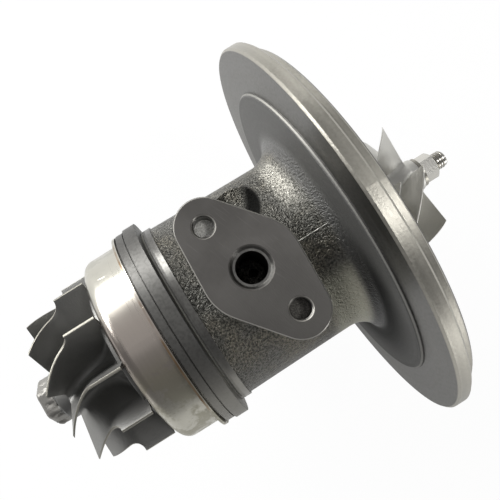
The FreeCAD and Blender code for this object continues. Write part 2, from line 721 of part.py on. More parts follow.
def make_thrust_parts():
    """The thrust plate with its screws, and the collar and sleeve that run against it."""
    seat_x = S.thrust_seat_x
    plate = turned_body("thrust_bearing", [
        (seat_x, S.collar_hub_r + S.thrust_hole_gap), (seat_x, S.thrust_chamber_r - S.insert_gap),
        (thrust_face_x, S.thrust_chamber_r - S.insert_gap),
        (thrust_face_x, S.collar_hub_r + S.thrust_hole_gap)])
    notch = new_sketch(plate, "drain_notch_outline", "YZ_Plane", thrust_face_x)
    half = S.thrust_notch_width / 2
    draw_corners(notch, [(-half, -S.thrust_pad_r), (half, -S.thrust_pad_r),
                         (half, -S.thrust_chamber_r), (-half, -S.thrust_chamber_r)])
    feature(plate, "Pocket", "drain_notch", notch, Length=S.thrust_thickness)
    hole = new_sketch(plate, "screw_hole_circle", "YZ_Plane", thrust_face_x)
    draw_circle(hole, ZERO, S.thrust_screw_circle_r, S.thrust_screw_r + S.thrust_hole_gap)
    first = feature(plate, "Pocket", "first_screw_hole", hole, Length=S.thrust_thickness)
    axis = [item for item in plate.Origin.OriginFeatures if item.Role == "X_Axis"][0]
    feature(plate, "PolarPattern", "screw_holes", Originals=[first], Axis=(axis, [""]),
            Angle=360, Occurrences=S.thrust_screws)

    turned_body("thrust_collar", [
        (S.collar_seat_x, sleeve_bore_r), (S.collar_seat_x, S.collar_hub_r),
        (collar_face_x - S.collar_flange_width, S.collar_hub_r),
        (collar_face_x - S.collar_flange_width, S.collar_flange_r),
        (collar_face_x, S.collar_flange_r), (collar_face_x, S.collar_hub_r),
        (sleeve_back_x, S.collar_hub_r), (sleeve_back_x, sleeve_bore_r)])

    flange_front_x = sleeve_back_x + S.sleeve_flange_width
    groove = S.ring_thickness / 2 + S.ring_side_gap
    groove_r = seal_hole_r - S.ring_depth - S.ring_bottom_gap
    turned_body("oil_flinger_sleeve", [
        (sleeve_back_x, sleeve_bore_r), (sleeve_back_x, S.collar_flange_r),
        (flange_front_x, S.collar_flange_r), (flange_front_x, S.sleeve_r),
        (S.compressor_ring_x - groove, S.sleeve_r), (S.compressor_ring_x - groove, groove_r),
        (S.compressor_ring_x + groove, groove_r), (S.compressor_ring_x + groove, S.sleeve_r),
        (S.compressor_back_x, S.sleeve_r), (S.compressor_back_x, sleeve_bore_r)])


def make_thrust_screws():
    """Button-head screws that hold the thrust plate to the housing."""
    head_x = thrust_face_x.value
    screw = Part.makeCylinder(S.thrust_screw_r.value, S.thrust_screw_length.value + S.thrust_screw_head.value,
                              Vector(head_x - S.thrust_screw_length.value, 0, S.thrust_screw_circle_r.value),
                              Vector(1, 0, 0))
    head = Part.makeCylinder(S.thrust_screw_head_r.value, S.thrust_screw_head.value,
                             Vector(head_x, 0, S.thrust_screw_circle_r.value), Vector(1, 0, 0))
    screw = screw.fuse(head).removeSplitter()
    count = int(S.thrust_screws.value)
    screws = []
    for number in range(count):
        turned = screw.copy()
        turned.rotate(Vector(0, 0, 0), Vector(1, 0, 0), 360.0 / count * number)
        screws.append(turned)
    group = document.addObject("Part::Feature", "thrust_bearing_screws")
    group.Label = "thrust_bearing_screws"
    group.Shape = Part.makeCompound(screws)
    group.Placement = FreeCAD.Placement()
    SUBPARTS.append(group)


def make_seal_plate_parts():
    """The baffle, the seal plate with its rubber ring, and the clip that holds them in."""
    turned_body("oil_baffle", [
        (S.insert_seat_x, S.baffle_hole_r), (S.insert_seat_x, insert_r),
        (insert_back_x, insert_r), (insert_back_x, S.baffle_hole_r)])

    half = S.o_ring_groove_width / 2
    groove_r = S.insert_bore_r - S.o_ring_section_r * 2
    turned_body("seal_plate", [
        (insert_back_x, S.insert_pocket_r), (insert_back_x, insert_r),
        (S.o_ring_x - half, insert_r), (S.o_ring_x - half, groove_r),
        (S.o_ring_x + half, groove_r), (S.o_ring_x + half, insert_r),
        (S.insert_face_x, insert_r), (S.insert_face_x, S.insert_centre_r),
        (S.insert_face_x + S.insert_centre_height, S.insert_centre_r - S.insert_centre_height),
        (S.insert_face_x + S.insert_centre_height, seal_hole_r),
        (insert_back_x + S.insert_pocket_depth, seal_hole_r),
        (insert_back_x + S.insert_pocket_depth, S.insert_pocket_r)])

    # The rubber ring is squeezed between its groove's floor and the bore, so its section has flats.
    middle_r = S.insert_bore_r - S.o_ring_section_r
    section = []
    for number in range(8):
        angle = math.radians(45 * number + 22.5)
        reach = S.o_ring_section_r / math.cos(math.radians(22.5))
        section.append((S.o_ring_x + reach * math.cos(angle), middle_r + reach * math.sin(angle)))
    turned_body("seal_plate_o_ring", section)

    clip_back_x = S.insert_face_x + S.clip_groove_gap
    clip_front_x = clip_back_x + S.insert_clip_thickness
    outer_r = S.insert_bore_r + S.insert_clip_groove - S.clip_groove_gap
    turned_body("seal_plate_clip", [
        (clip_back_x, outer_r - S.insert_clip_depth), (clip_back_x, outer_r),
        (clip_front_x, outer_r), (clip_front_x, outer_r - S.insert_clip_depth)],
        angle=-S.clip_opening_deg + 360)


def make_shaft():
    """The shaft, from the weld at the turbine wheel to the threaded end."""
    groove = S.ring_thickness / 2 + S.ring_side_gap
    groove_r = S.seal_bore_r - S.ring_depth - S.ring_bottom_gap
    slinger_back_x = S.seal_boss_front_x + S.slinger_groove_width
    relief_back_x = S.turbine_bearing_x + clip_span + S.clip_thickness * 2
    relief_front_x = S.compressor_bearing_x - clip_span - S.clip_thickness * 2
    relief_r = S.journal_r - S.journal_relief
    thread_back_x = S.stub_end_x - S.thread_length
    body = turned_body("rotor_shaft", [
        (S.weld_x, ZERO), (S.weld_x, seal_boss_r),
        (S.turbine_ring_x - groove, seal_boss_r), (S.turbine_ring_x - groove, groove_r),
        (S.turbine_ring_x + groove, groove_r), (S.turbine_ring_x + groove, seal_boss_r),
        (S.seal_boss_front_x, seal_boss_r), (S.seal_boss_front_x, S.slinger_groove_r),
        (slinger_back_x, S.slinger_groove_r), (slinger_back_x, S.slinger_r),
        (slinger_back_x + S.slinger_width, S.slinger_r),
        (slinger_back_x + S.slinger_width, S.journal_r),
        (relief_back_x, S.journal_r), (relief_back_x, relief_r),
        (relief_front_x, relief_r), (relief_front_x, S.journal_r),
        (S.collar_seat_x, S.journal_r), (S.collar_seat_x, S.stub_r),
        (thread_back_x, S.stub_r), (thread_back_x, S.thread_r),
        (S.stub_end_x, S.thread_r), (S.stub_end_x, ZERO)])
    round_edges(body, "thread_end_bevel", ring_edge(S.stub_end_x, S.thread_r),
                S.stub_end_chamfer, "Chamfer")


def make_nut_and_washer():
    """The hexagon nut on the thread, and the collar washer under it."""
    turned_body("compressor_washer", [
        (S.compressor_nose_x, sleeve_bore_r), (S.compressor_nose_x, S.washer_r),
        (nut_seat_x, S.washer_r), (nut_seat_x, sleeve_bore_r)])

    nut = new_body("compressor_nut")
    outline = new_sketch(nut, "hexagon", "YZ_Plane", nut_seat_x)
    draw_hexagon(outline, S.nut_flats)
    feature(nut, "Pad", "hexagon_bar", outline, Length=S.nut_height)
    thread = new_sketch(nut, "thread_circle", "YZ_Plane", nut_seat_x)
    draw_circle(thread, ZERO, ZERO, S.thread_r + S.sleeve_bore_gap)
    feature(nut, "Pocket", "thread_hole", thread, Length=S.nut_height, Reversed=True)
    end_x = nut_seat_x + S.nut_height
    flat_r = S.nut_flats / 2
    turn(nut, "corner_bevel", [
        (end_x - S.nut_chamfer, flat_r + S.nut_chamfer * 2), (end_x + 1, flat_r + S.nut_chamfer * 2),
        (end_x + 1, flat_r - S.nut_chamfer / 4), (end_x, flat_r - S.nut_chamfer / 4)], "Groove")


def quarter_point(start, end, share, power=1.0):
    """The place and radius at this share of a quarter oval that leaves the start across the shaft."""
    angle = math.pi / 2 * share
    x = end[0] + (start[0] - end[0]) * math.cos(angle) ** power
    r = start[1] - (start[1] - end[1]) * math.sin(angle) ** power
    return (x, r)


def quarter_line(start, end, steps):
    """Corners along the whole quarter oval, its start and end included."""
    return [quarter_point(start, end, step / steps) for step in range(steps + 1)]


def around(x, radius, angle):
    """The point at this place along the shaft, turned by the angle from the top."""
    return Vector(x, -radius * math.sin(angle), radius * math.cos(angle))


def flat_faces(corners):
    """Two triangles that close a gap with four corners, which need not lie in one plane."""
    a, b, c, d = corners
    return [Part.Face(Part.makePolygon([a, b, c, a])), Part.Face(Part.makePolygon([a, c, d, a]))]


def blade(root, tip, root_thickness, tip_thickness):
    """A solid blade between a root line and a tip line, each a list of (x, radius, angle)."""
    lines = []
    for line, thickness, side in ((root, root_thickness, -1), (tip, tip_thickness, -1),
                                  (tip, tip_thickness, 1), (root, root_thickness, 1)):
        lines.append([around(x, r, a + side * thickness / (2 * r)) for x, r, a in line])
    faces = []
    for line, following in zip(lines, lines[1:] + lines[:1]):
        for step in range(len(line) - 1):
            faces += flat_faces([line[step], line[step + 1], following[step + 1], following[step]])
    for end in (0, -1):
        faces += flat_faces([line[end] for line in lines])
    shell = Part.Shell(faces)
    shell.sewShape()
    solid = Part.Solid(shell)
    if solid.Volume < 0:
        solid.reverse()
    return solid


def draw_hexagon(sketch, flats):
    """A hexagon round the shaft's axis with a corner to the side, measured across its flats."""
    corner_r = flats / math.sqrt(3)
    corners = []
    for number in range(6):
        angle = math.radians(60 * number)
        corners.append((corner_r * math.cos(angle), corner_r * math.sin(angle)))
    draw_corners(sketch, corners)


def draw_blade_slice(body, name, x, turn_deg):
    """A slice of a turbine blade across the shaft: a spoke that grows thinner outwards."""
    sketch = new_sketch(body, name, "YZ_Plane", x, turn_deg=turn_deg)
    root, tip = S.turbine_blade_root / 2, S.turbine_blade_tip / 2
    inner_r, outer_r = S.turbine_hub_end_r / 2, S.turbine_inlet_r + 1
    draw_corners(sketch, [(-root, inner_r), (root, inner_r), (tip, outer_r), (-tip, outer_r)])
    return sketch


def make_turbine_wheel():
    """The radial turbine wheel: straight blades at the inlet that curl at the outlet."""
    body = new_body("turbine_wheel")
    back_x, corner_x, exit_x = S.turbine_back_x, S.turbine_corner_x, S.turbine_exit_x
    hub_end_x, rim_x = S.turbine_hub_end_x, S.turbine_back_x - S.turbine_back_rim
    hub_r, round_r = S.turbine_hub_end_r, S.turbine_hub_round
    hub_round = quarter_line((rim_x, hub_r + round_r), (rim_x - round_r, hub_r), 8)
    turn(body, "hub", [
        (S.weld_x, ZERO), (S.weld_x, seal_boss_r), (back_x, seal_boss_r),
        (back_x, S.turbine_hub_back_r), (rim_x, S.turbine_hub_back_r)]
        + hub_round + [(hub_end_x, hub_r), (hub_end_x, ZERO)])

    hexagon = new_sketch(body, "boss_hexagon", "YZ_Plane", hub_end_x)
    draw_hexagon(hexagon, S.turbine_boss_flats)
    feature(body, "Pad", "boss", hexagon, Length=hub_end_x - S.turbine_boss_end_x, Reversed=True)
    boss_end_x, bevel = S.turbine_boss_end_x, S.turbine_boss_chamfer
    turn(body, "boss_corners", [
        (hub_end_x, S.turbine_boss_r), (boss_end_x + bevel, S.turbine_boss_r),
        (boss_end_x, S.turbine_boss_r - bevel), (boss_end_x - 1, S.turbine_boss_r - bevel),
        (boss_end_x - 1, S.turbine_boss_flats), (hub_end_x, S.turbine_boss_flats)], "Groove")

    slices = []
    for step in range(5):
        along = Size.of(step / 4)
        turned = S.turbine_first_blade_deg + S.turbine_sweep_deg * along ** S.turbine_sweep_power
        x = corner_x + (exit_x - corner_x) * along
        slices.append(draw_blade_slice(body, "blade_slice_%d" % (step + 1), x, turned))
    straight = feature(body, "Pad", "straight_of_blade", slices[0], Length=back_x - corner_x)
    curl = feature(body, "AdditiveLoft", "curl_of_blade", slices[0], Sections=slices[1:])
    axis = [item for item in body.Origin.OriginFeatures if item.Role == "X_Axis"][0]
    feature(body, "PolarPattern", "blades", Originals=[straight, curl],
            Axis=(axis, [""]), Angle=360, Occurrences=S.turbine_blades)

    # The blades' tips clear the turbine housing: along the shaft at the inlet, then inwards
    # round a quarter circle, and along the shaft again at the outlet.
    outer_r, inlet_r, exit_r = S.turbine_inlet_r + 2, S.turbine_inlet_r, S.turbine_exit_r
    tip_corner = quarter_line((corner_x, inlet_r), (corner_x - (inlet_r - exit_r), exit_r), 4)
    turn(body, "blade_tips", [(back_x + 1, outer_r), (back_x + 1, inlet_r)]
         + tip_corner + [(exit_x - 1, exit_r), (exit_x - 1, outer_r)], "Groove")


def make_compressor_wheel():
    """The compressor wheel: full blades and shorter splitters, leaning back at the rim."""
    back_x, rim_r = S.compressor_back_x.value, S.compressor_r.value
    bore_r, nose_r = sleeve_bore_r.value, S.compressor_nose_r.value
    rim = (back_x + S.compressor_rim.value, rim_r)
    inlet = (S.compressor_inlet_x.value, nose_r)
    nose_x = S.compressor_nose_x.value
    outline = quarter_line(rim, inlet, 10)
    outline += [(nose_x, nose_r), (nose_x, bore_r), (back_x, bore_r), (back_x, rim_r), rim]
    section = Part.Face(Part.makePolygon([Vector(x, 0, r) for x, r in outline]))
    hub = section.revolve(Vector(0, 0, 0), Vector(1, 0, 0), 360)

    tip_start = (rim[0] + S.compressor_tip_width.value, rim_r)
    tip_end = (S.compressor_tip_x.value, S.compressor_inlet_r.value)
    early = math.radians(S.compressor_early_wrap_deg.value)
    late = math.radians(S.compressor_late_wrap_deg.value)
    first = math.radians(S.compressor_first_blade_deg.value)
    pitch = 2 * math.pi / S.compressor_blades.value
    power = S.compressor_shroud_power.value
    sink = S.compressor_blade_sink.value
    steps = 9
    blades = []
    for number in range(int(S.compressor_blades.value)):
        for offset, start in ((0.0, 0.0), (0.5, S.splitter_start.value)):
            root, tip = [], []
            for step in range(steps):
                share = start + (1 - start) * step / (steps - 1)
                angle = first + pitch * (number + offset)
                angle += early * (1 - (1 - share) ** 2) + late * share
                x, r = quarter_point(rim, inlet, 1 - share)
                root.append((x - sink, r - sink, angle))
                x, r = quarter_point(tip_start, tip_end, 1 - share, power)
                tip.append((x, r, angle))
            blades.append(blade(root, tip, S.compressor_blade_root.value,
                                S.compressor_blade_tip.value))
    shape = hub.multiFuse(blades).removeSplitter()
    if len(shape.Solids) != 1:
        raise RuntimeError("compressor_wheel is in %d pieces" % len(shape.Solids))
    wheel = document.addObject("Part::Feature", "compressor_wheel")
    wheel.Label = "compressor_wheel"
    wheel.Shape = shape.Solids[0]
    wheel.Placement = FreeCAD.Placement()
    SUBPARTS.append(wheel)


make_housing()
make_heat_shield()
make_seals()
make_bearings()
make_thrust_parts()
make_thrust_screws()
make_seal_plate_parts()
make_shaft()
make_nut_and_washer()
make_turbine_wheel()
make_compressor_wheel()

document.recompute()
for item in document.Objects:
    if "Invalid" in item.State or "Error" in item.State:
        raise RuntimeError("%s did not build: %s" % (item.Label, item.State))
os.makedirs("parts", exist_ok=True)
for part in SUBPARTS:
    if part.Shape.isNull() or not part.Shape.isValid():
        raise RuntimeError("%s has no valid shape" % part.Label)
    part.Shape.exportStep("parts/%s.step" % part.Label)
    print("%-34s solids %d  volume %10.1f" % (part.Label, len(part.Shape.Solids), part.Shape.Volume))
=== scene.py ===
# %% [markdown]
# A turbo cartridge: the middle of a turbocharger, with a turbine wheel at one end of its shaft
# and a compressor wheel at the other. The solids come from the frame at their real size, in
# metres, with +X along the shaft towards the compressor and +Z up towards the oil inlet. This
# file gives them their camera, light and finishes, and adds the small forms that only the eye
# needs: smooth wheels, a thread, and the rough casting under two screw holes.

# %% Load the frame
import math
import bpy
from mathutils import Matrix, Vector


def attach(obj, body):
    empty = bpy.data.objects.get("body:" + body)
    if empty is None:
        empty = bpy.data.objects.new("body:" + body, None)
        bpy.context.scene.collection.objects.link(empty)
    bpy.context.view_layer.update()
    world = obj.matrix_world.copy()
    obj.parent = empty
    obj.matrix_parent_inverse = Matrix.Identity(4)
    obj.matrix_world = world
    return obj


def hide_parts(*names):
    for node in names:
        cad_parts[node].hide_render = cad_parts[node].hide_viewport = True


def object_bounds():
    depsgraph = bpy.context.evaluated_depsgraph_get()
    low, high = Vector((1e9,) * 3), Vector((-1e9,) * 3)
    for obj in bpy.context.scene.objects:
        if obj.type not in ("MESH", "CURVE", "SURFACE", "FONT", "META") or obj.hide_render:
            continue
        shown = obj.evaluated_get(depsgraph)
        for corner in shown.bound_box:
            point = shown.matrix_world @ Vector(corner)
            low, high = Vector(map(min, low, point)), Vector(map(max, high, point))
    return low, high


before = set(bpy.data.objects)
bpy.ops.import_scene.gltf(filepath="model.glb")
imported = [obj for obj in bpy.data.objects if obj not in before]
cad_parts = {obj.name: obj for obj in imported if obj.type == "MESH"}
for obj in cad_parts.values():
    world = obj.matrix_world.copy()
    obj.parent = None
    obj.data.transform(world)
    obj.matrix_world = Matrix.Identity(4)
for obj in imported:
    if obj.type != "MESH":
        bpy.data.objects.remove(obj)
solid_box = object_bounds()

from types import SimpleNamespace

import bmesh
import bpy
from mathutils import Vector, noise

MM = 0.001
print("nodes:", ", ".join(sorted(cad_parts)))

# %% [markdown]
# The photograph looks down on the part from about a quarter of a metre, nearly straight along
# -Z, and turned so that the shaft runs from lower left to upper right. A camera this close has
# strong perspective, so its place matters more than its lens. The object sits a little left of
# the frame's middle, which a small sideways shift takes care of.

# %% Place the camera
camera_data = bpy.data.cameras.new("camera")
camera_data.sensor_width = 36.0
camera_data.lens = 44.39
camera_data.shift_x = 0.0795
camera_data.shift_y = -0.0006
camera = bpy.data.objects.new("camera", camera_data)
camera.location = (-53.28 * MM, -12.61 * MM, 253.54 * MM)
camera.rotation_euler = [math.radians(angle) for angle in (6.4537, 2.9584, -31.8912)]
bpy.context.scene.collection.objects.link(camera)
bpy.context.scene.camera = camera
bpy.context.scene.view_settings.view_transform = "Standard"
print("camera height in mm:", round(camera.location.z / MM, 1))

# %% [markdown]
# Shader networks are easier to read as sums. This class wraps one socket of a node tree. Adding,
# subtracting, multiplying or dividing two wires, or a wire and a number, adds a Math node.

# %% Make a wire
class Wire:
    """The value that one socket carries, with arithmetic."""

    def __init__(self, finish, socket):
        self.finish = finish
        self.socket = socket

    def maths(self, operation, *others):
        node = self.finish.node("ShaderNodeMath", {"operation": operation}, self, *others)
        return self.finish.wire(node, 0)

    def either(self, *others):
        """The largest of this wire and the others."""
        largest = self
        for other in others:
            largest = largest.maths("MAXIMUM", other)
        return largest

    def __add__(self, other):
        return self.maths("ADD", other)

    def __radd__(self, other):
        return self.maths("ADD", other)

    def __sub__(self, other):
        return self.maths("SUBTRACT", other)

    def __rsub__(self, other):
        node = self.finish.node("ShaderNodeMath", {"operation": "SUBTRACT"}, other, self)
        return self.finish.wire(node, 0)

    def __mul__(self, other):
        return self.maths("MULTIPLY", other)

    def __rmul__(self, other):
        return self.maths("MULTIPLY", other)

    def __truediv__(self, other):
        return self.maths("DIVIDE", other)

    def __pow__(self, other):
        return self.maths("POWER", other)


print("wires are ready")

# %% [markdown]
# A finish is a material. Any node of it comes from one method, which first sets the node's own
# options and then its inputs. A place on the part is told by masks, which are 1 in a zone and 0
# outside it: a rise, a fall, or a strip between two places in millimetres. Colours are laid on
# in coats, each with a mask that says where it covers the ones below.

# %% Make a finish
class Finish:
    """A material whose network is written as Python expressions."""

    def __init__(self, name):
        self.material = bpy.data.materials.new(name)
        self.material.use_nodes = True
        self.tree = self.material.node_tree
        self.tree.nodes.clear()

    def node(self, kind, options=None, *inputs, **named):
        """Adds a node, sets its options, then its inputs in order or by name."""
        node = self.tree.nodes.new(kind)
        for key, value in (options or {}).items():
            setattr(node, key, value)
        pairs = list(enumerate(inputs))
        pairs += [(key.replace("_", " "), value) for key, value in named.items()]
        for key, value in pairs:
            if isinstance(value, Wire):
                self.tree.links.new(value.socket, node.inputs[key])
            else:
                node.inputs[key].default_value = value
        return node

    def wire(self, node, output):
        return Wire(self, node.outputs[output])

    def ramp(self, value, low, high):
        """0 below low, 1 above high and a smooth rise between."""
        options = {"interpolation_type": "SMOOTHSTEP"}
        node = self.node("ShaderNodeMapRange", options, value, low, high, 0.0, 1.0)
        return self.wire(node, 0)

    def band(self, value, low, high, soft):
        """1 between low and high, 0 outside, with soft edges."""
        upper_edge = 1 - self.ramp(value, high - soft, high + soft)
        return self.ramp(value, low - soft, low + soft) * upper_edge

    def rise(self, place, low, high):
        """A ramp over places in millimetres."""
        return self.ramp(place, low * MM, high * MM)

    def fall(self, place, low, high):
        """The reverse of a rise: 1 below low and 0 above high."""
        return 1 - self.rise(place, low, high)

    def strip(self, place, low, high, soft):
        """A band over places in millimetres."""
        return self.band(place, low * MM, high * MM, soft * MM)

    def mix(self, factor, first, second):
        """A colour that goes from the first to the second."""
        node = self.node("ShaderNodeMix", {"data_type": "RGBA"})
        for index, value in ((0, factor), (6, first), (7, second)):
            if isinstance(value, Wire):
                self.tree.links.new(value.socket, node.inputs[index])
            else:
                node.inputs[index].default_value = (*value, 1.0)
        return self.wire(node, 2)

    def coats(self, colour, *layers):
        """Lays more colours over the first one; each layer is a mask and a colour."""
        for mask, layer in layers:
            colour = self.mix(mask, colour, layer)
        return colour

    def noise(self, vector, scale, detail=2.0, roughness=0.5):
        node = self.node("ShaderNodeTexNoise", None, Vector=vector, Scale=scale, Detail=detail,
                         Roughness=roughness)
        return self.wire(node, 0)

    def combine(self, x, y, z):
        return self.wire(self.node("ShaderNodeCombineXYZ", None, x, y, z), 0)

    def place(self):
        """Where the surface is: a point, its three parts, and how far out from the shaft."""
        point = self.wire(self.node("ShaderNodeTexCoord"), "Object")
        parts = self.node("ShaderNodeSeparateXYZ", None, point)
        x, y, z = (self.wire(parts, i) for i in range(3))
        return SimpleNamespace(point=point, x=x, y=y, z=z, radius=(y * y + z * z) ** 0.5)

    def surface(self, bump, bump_depth, **inputs):
        """Ends the network: a Principled shader with a bump."""
        shader = self.node("ShaderNodeBsdfPrincipled", None, **inputs)
        relief = self.node("ShaderNodeBump", None, Height=bump, Distance=bump_depth, Strength=1.0)
        output = self.node("ShaderNodeOutputMaterial")
        self.tree.links.new(relief.outputs[0], shader.inputs["Normal"])
        self.tree.links.new(shader.outputs[0], output.inputs[0])
        return self.material


def dress(node_name, material):
    """Gives a CAD node its finish."""
    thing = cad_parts[node_name]
    thing.data.materials.clear()
    thing.data.materials.append(material)


print("finishes are ready")

# %% [markdown]
# Both wheels are castings with thin curved blades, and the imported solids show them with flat
# facets, because a solid made for drawings and for collisions keeps its face count low. The eye
# wants smooth ones, with a soft fillet where a blade grows out of the hub and a fine rounded
# edge at its tip. So each wheel is built again here, from the same places and radii. Every
# wheel surface is a grid: rows of points, joined to the next row by four-sided faces. From
# here on, places and radii of these shapes are in millimetres.

# %% Build grids of points
def around(x, radius, angle):
    """A point at this place along the shaft, this far out, turned from the top."""
    return Vector((x, -radius * math.sin(angle), radius * math.cos(angle))) * MM


def between(first, last, share):
    return first + (last - first) * share


def quarter(start, end, share, power=1.0):
    """A place and radius on the quarter oval from start, which it leaves across the shaft."""
    turn = math.pi / 2 * share
    x = end[0] + (start[0] - end[0]) * math.cos(turn) ** power
    return (x, start[1] - (start[1] - end[1]) * math.sin(turn) ** power)


def add_grid(mesh, rows, closed=False):
    """Joins rows of points by faces, and closes each row to a ring if asked."""
    corners = [[mesh.verts.new(point) for point in row] for row in rows]
    for row, following in zip(corners, corners[1:]):
        count = len(row)
        for step in range(count if closed else count - 1):
            after = (step + 1) % count
            mesh.faces.new((row[step], row[after], following[after], following[step]))


def add_turned(mesh, outline):
    """Turns an outline of places and radii round the shaft."""
    segments = 144
    rows = []
    for x, radius in outline:
        rows.append([around(x, max(radius, 0.01), math.tau * i / segments) for i in range(segments)])
    add_grid(mesh, rows, closed=True)


def finish_piece(name, mesh, body, material, sharp_deg=32.0):
    """Makes an object of the mesh, smooth except at its sharp edges, that rides on a body."""
    bmesh.ops.remove_doubles(mesh, verts=mesh.verts, dist=0.002 * MM)
    bmesh.ops.recalc_face_normals(mesh, faces=mesh.faces)
    data = bpy.data.meshes.new(name)
    mesh.to_mesh(data)
    mesh.free()
    data.shade_smooth()
    data.set_sharp_from_angle(angle=math.radians(sharp_deg))
    data.materials.append(material)
    piece = bpy.data.objects.new(name, data)
    bpy.context.scene.collection.objects.link(piece)
    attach(piece, body)
    print(name, "has", len(data.polygons), "faces")
    return piece


print("grid tools are ready")

# %% [markdown]
# A blade is swept between two lines on the wheel's section: one along the hub and one along
# the edge that faces the housing. At each step along the flow the section runs up one side,
# over the edge and down the other. Its half thickness shrinks towards the tip, flares to a
# fillet at the hub, and rounds off at every free edge.

# %% Sweep a blade
def half_thickness(above_hub, height, root, tip, fillet, edge):
    """Half of a blade's thickness at this distance above the hub."""
    half = between(root, tip, max(0.0, min(1.0, above_hub / height)))
    if above_hub < fillet:
        rest = (fillet - max(above_hub, 0.0)) / fillet
        half += fillet * (1 - math.sqrt(max(0.0, 1 - rest * rest)))
    below_tip = height - above_hub
    if below_tip < edge:
        rest = (edge - below_tip) / edge
        half -= edge * (1 - math.sqrt(max(0.0, 1 - rest * rest)))
    return half


def blade_levels(height, fillet, edge):
    """Distances above the hub, closer together where the fillet and the edge are round."""
    sunk, flat_levels = -0.6, 11
    near = [sunk, 0.0, 0.1 * fillet, 0.3 * fillet, 0.6 * fillet, fillet]
    middle = [between(fillet, height - edge, k / flat_levels) for k in range(1, flat_levels)]
    far = [height - edge, height - edge * 0.6, height - edge * 0.25, height]
    return near + middle + far


def add_blade(mesh, hub_line, tip_line, turn, root, tip, fillet, edge):
    """A blade between two lines of (place, radius); turn gives its angle at a place."""
    last = len(hub_line) - 1
    steps = [(0, 0.0), (0, 0.6), (0, 1.0)]
    steps += [(i, 1.0) for i in range(1, last)]
    steps += [(last, 1.0), (last, 0.6), (last, 0.0)]
    rows = []
    for i, fullness in steps:
        (hub_x, hub_r), (tip_x, tip_r) = hub_line[i], tip_line[i]
        height = math.hypot(tip_x - hub_x, tip_r - hub_r)
        side_a, side_b = [], []
        for distance in blade_levels(height, fillet, edge):
            x = between(hub_x, tip_x, distance / height)
            radius = between(hub_r, tip_r, distance / height)
            half = half_thickness(distance, height, root, tip, fillet, edge) * fullness
            middle = turn(x, i / last)
            side_a.append(around(x, radius, middle - half / radius))
            side_b.append(around(x, radius, middle + half / radius))
        rows.append(side_a + side_b[::-1])
    add_grid(mesh, rows)


print("blade recipe is ready")

# %% [markdown]
# The turbine wheel has eleven blades. They leave the inlet straight, along the shaft, and curl
# over towards the outlet. Their outer edge steps inwards round a hollow quarter circle behind
# the inlet. On the end of the hub sits a rough hexagon boss, left as cast, with chips ground
# out of it where the wheel was balanced. The chips are a slow noise that only ever takes metal
# away, so the boss stays inside its solid.

# %% Cast the turbine wheel
INLET_R, TIP_STEP = 37.3, 5.3
TIP_CORNER_X, BLADE_EXIT_X, HUB_END_X = -111.0, -127.3, -132.3


def add_boss(mesh):
    """The hexagon boss: rings whose corners are cut off, and which shrink towards the end."""
    corner_r, flat_r, segments = 10.15, 9.2, 120
    chip_stretch, chip_reach, chip_level, chip_depth = 0.42, 4.6, 0.14, 2.2
    rings = ((HUB_END_X + 0.4, 0.0), (HUB_END_X - 0.4, 0.0), (-133.4, 0.1), (-134.6, 0.0),
             (-135.8, 0.1), (-137.0, 0.0), (-138.0, 0.5), (-138.7, 1.1), (-139.0, 1.9),
             (-139.0, 5.5), (-138.6, 7.6), (-138.6, 10.0))
    rows = []
    for x, shrink in rings:
        row = []
        for i in range(segments):
            angle = math.tau * i / segments
            from_flat = (angle + math.pi / 6) % (math.pi / 3) - math.pi / 6
            radius = min(corner_r, flat_r / math.cos(from_flat))
            side, up = math.sin(angle) * chip_reach, math.cos(angle) * chip_reach
            slow_noise = noise.noise(Vector((x * chip_stretch, side, up)))
            chip = max(0.0, slow_noise - chip_level) * chip_depth
            row.append(around(x, max(0.02, radius - chip - shrink), angle))
        rows.append(row)
    add_grid(mesh, rows, closed=True)


